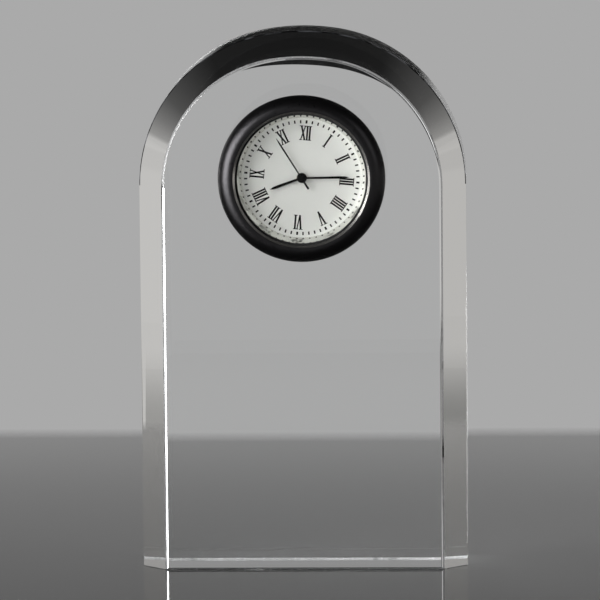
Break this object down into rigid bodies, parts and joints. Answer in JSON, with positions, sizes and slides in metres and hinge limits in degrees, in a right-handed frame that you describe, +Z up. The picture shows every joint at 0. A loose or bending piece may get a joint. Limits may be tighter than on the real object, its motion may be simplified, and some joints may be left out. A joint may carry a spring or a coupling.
{
  "type": "arched desk clock",
  "caption": "Arch-topped upright block of clear crystal with a bevelled front and a round push-in quartz clock near the top.",
  "frame": {"origin": "centre of the block's flat base, on the surface it stands on", "axes": "+Z up the block, -Y out of the dial, +X towards 3 o'clock"},
  "size_m": [0.072, 0.0216, 0.119],
  "materials": {
    "crystal": "clear polished optical crystal",
    "black_nickel": "glossy black nickel plate",
    "mineral_glass": "clear flat glass",
    "seal_rubber": "soft black seal",
    "polished_ring": "bright polished ring",
    "dial_enamel": "satin white lacquer on a brass disc",
    "black_hands": "gloss black lacquer",
    "case_steel": "drawn and brushed steel",
    "grip_plastic": "milky moulded plastic",
    "movement_plastic": "black moulded plastic",
    "bridge_nickel": "nickelled plate",
    "wheel_brass": "fine stamped brass",
    "wheel_plastic": "white moulded plastic",
    "magnet": "sintered magnet",
    "soft_iron": "stamped soft iron",
    "copper_wire": "enamelled copper wire",
    "board_green": "lacquered circuit board",
    "cell_nickel": "nickelled steel can"
  },
  "bodies": {
    "block": {"crystal_block": "crystal"},
    "insert": {"bezel": "black_nickel", "lens": "mineral_glass", "lens_gasket": "seal_rubber", "dial_ring": "polished_ring", "dial": "dial_enamel", "case_cup": "case_steel", "friction_ring": "grip_plastic", "back_gasket": "seal_rubber", "movement_holder": "grip_plastic", "main_plate": "movement_plastic", "train_bridge": "bridge_nickel", "bridge_screws": "case_steel", "stator": "soft_iron", "coil_core": "soft_iron", "coil_bobbin": "grip_plastic", "coil_winding": "copper_wire", "circuit_board": "board_green", "quartz_crystal": "cell_nickel", "timing_chip": "movement_plastic", "battery_contact": "case_steel", "battery_clip": "case_steel"},
    "back_cover": {"case_back": "case_steel"},
    "battery": {"button_cell": "cell_nickel"},
    "stem_lever": {"setting_lever": "case_steel"},
    "crown": {"setting_stem": "case_steel", "setting_crown": "case_steel"},
    "seconds": {"second_hand": "black_hands", "second_wheel": "wheel_brass"},
    "third": {"third_wheel": "wheel_brass"},
    "minutes": {"minute_hand": "black_hands", "centre_wheel": "wheel_brass", "cannon_pinion": "wheel_brass"},
    "intermediate": {"intermediate_wheel": "wheel_brass"},
    "rotor": {"rotor_pinion": "wheel_brass", "rotor_magnet": "magnet"},
    "motion_work": {"minute_wheel": "wheel_plastic"},
    "hours": {"hour_hand": "black_hands", "hour_wheel": "wheel_brass"}
  },
  "joints": [
    {"name": "insert_pull", "type": "slide", "parent": "block", "child": "insert", "axis": [0, -1, 0], "range_m": [0, 0.04]},
    {"name": "case_back_off", "type": "slide", "parent": "insert", "child": "back_cover", "axis": [0, 1, 0], "range_m": [0, 0.02]},
    {"name": "battery_out", "type": "slide", "parent": "insert", "child": "battery", "axis": [0, 1, 0], "range_m": [0, 0.01]},
    {"name": "crown_pull", "type": "slide", "parent": "insert", "child": "stem_lever", "axis": [0.9957, 0, -0.0924], "range_m": [0, 0.00045]},
    {"name": "crown_turn", "type": "hinge", "parent": "stem_lever", "child": "crown", "pos_m": [0.00996, -0.0049, 0.08608], "axis": [0.9957, 0, -0.0924], "continuous": true},
    {"name": "second_turn", "type": "hinge", "parent": "insert", "child": "seconds", "pos_m": [0, -0.0055, 0.087], "axis": [0, 1, 0], "continuous": true},
    {"name": "third_turn", "type": "hinge", "parent": "insert", "child": "third", "pos_m": [-0.00304, -0.0055, 0.09066], "axis": [0, 1, 0], "continuous": true},
    {"name": "minute_turn", "type": "hinge", "parent": "insert", "child": "minutes", "pos_m": [0, -0.0055, 0.087], "axis": [0, 1, 0], "continuous": true},
    {"name": "intermediate_turn", "type": "hinge", "parent": "insert", "child": "intermediate", "pos_m": [-0.00044, -0.0055, 0.08222], "axis": [0, 1, 0], "continuous": true},
    {"name": "rotor_turn", "type": "hinge", "parent": "insert", "child": "rotor", "pos_m": [-0.003, -0.0055, 0.08076], "axis": [0, 1, 0], "continuous": true},
    {"name": "motion_work_turn", "type": "hinge", "parent": "insert", "child": "motion_work", "pos_m": [0.00335, -0.0055, 0.08669], "axis": [0, 1, 0], "continuous": true},
    {"name": "hour_turn", "type": "hinge", "parent": "insert", "child": "hours", "pos_m": [0, -0.0055, 0.087], "axis": [0, 1, 0], "continuous": true}
  ],
  "couplings": [
    {"joint": "case_back_off", "follows": "insert_pull", "ratio": 0.5},
    {"joint": "battery_out", "follows": "insert_pull", "ratio": 0.25},
    {"joint": "third_turn", "follows": "second_turn", "ratio": -0.13333},
    {"joint": "minute_turn", "follows": "second_turn", "ratio": 0.016667},
    {"joint": "intermediate_turn", "follows": "second_turn", "ratio": -5},
    {"joint": "rotor_turn", "follows": "second_turn", "ratio": 30},
    {"joint": "motion_work_turn", "follows": "second_turn", "ratio": -0.0055556},
    {"joint": "hour_turn", "follows": "second_turn", "ratio": 0.0013889}
  ]
}
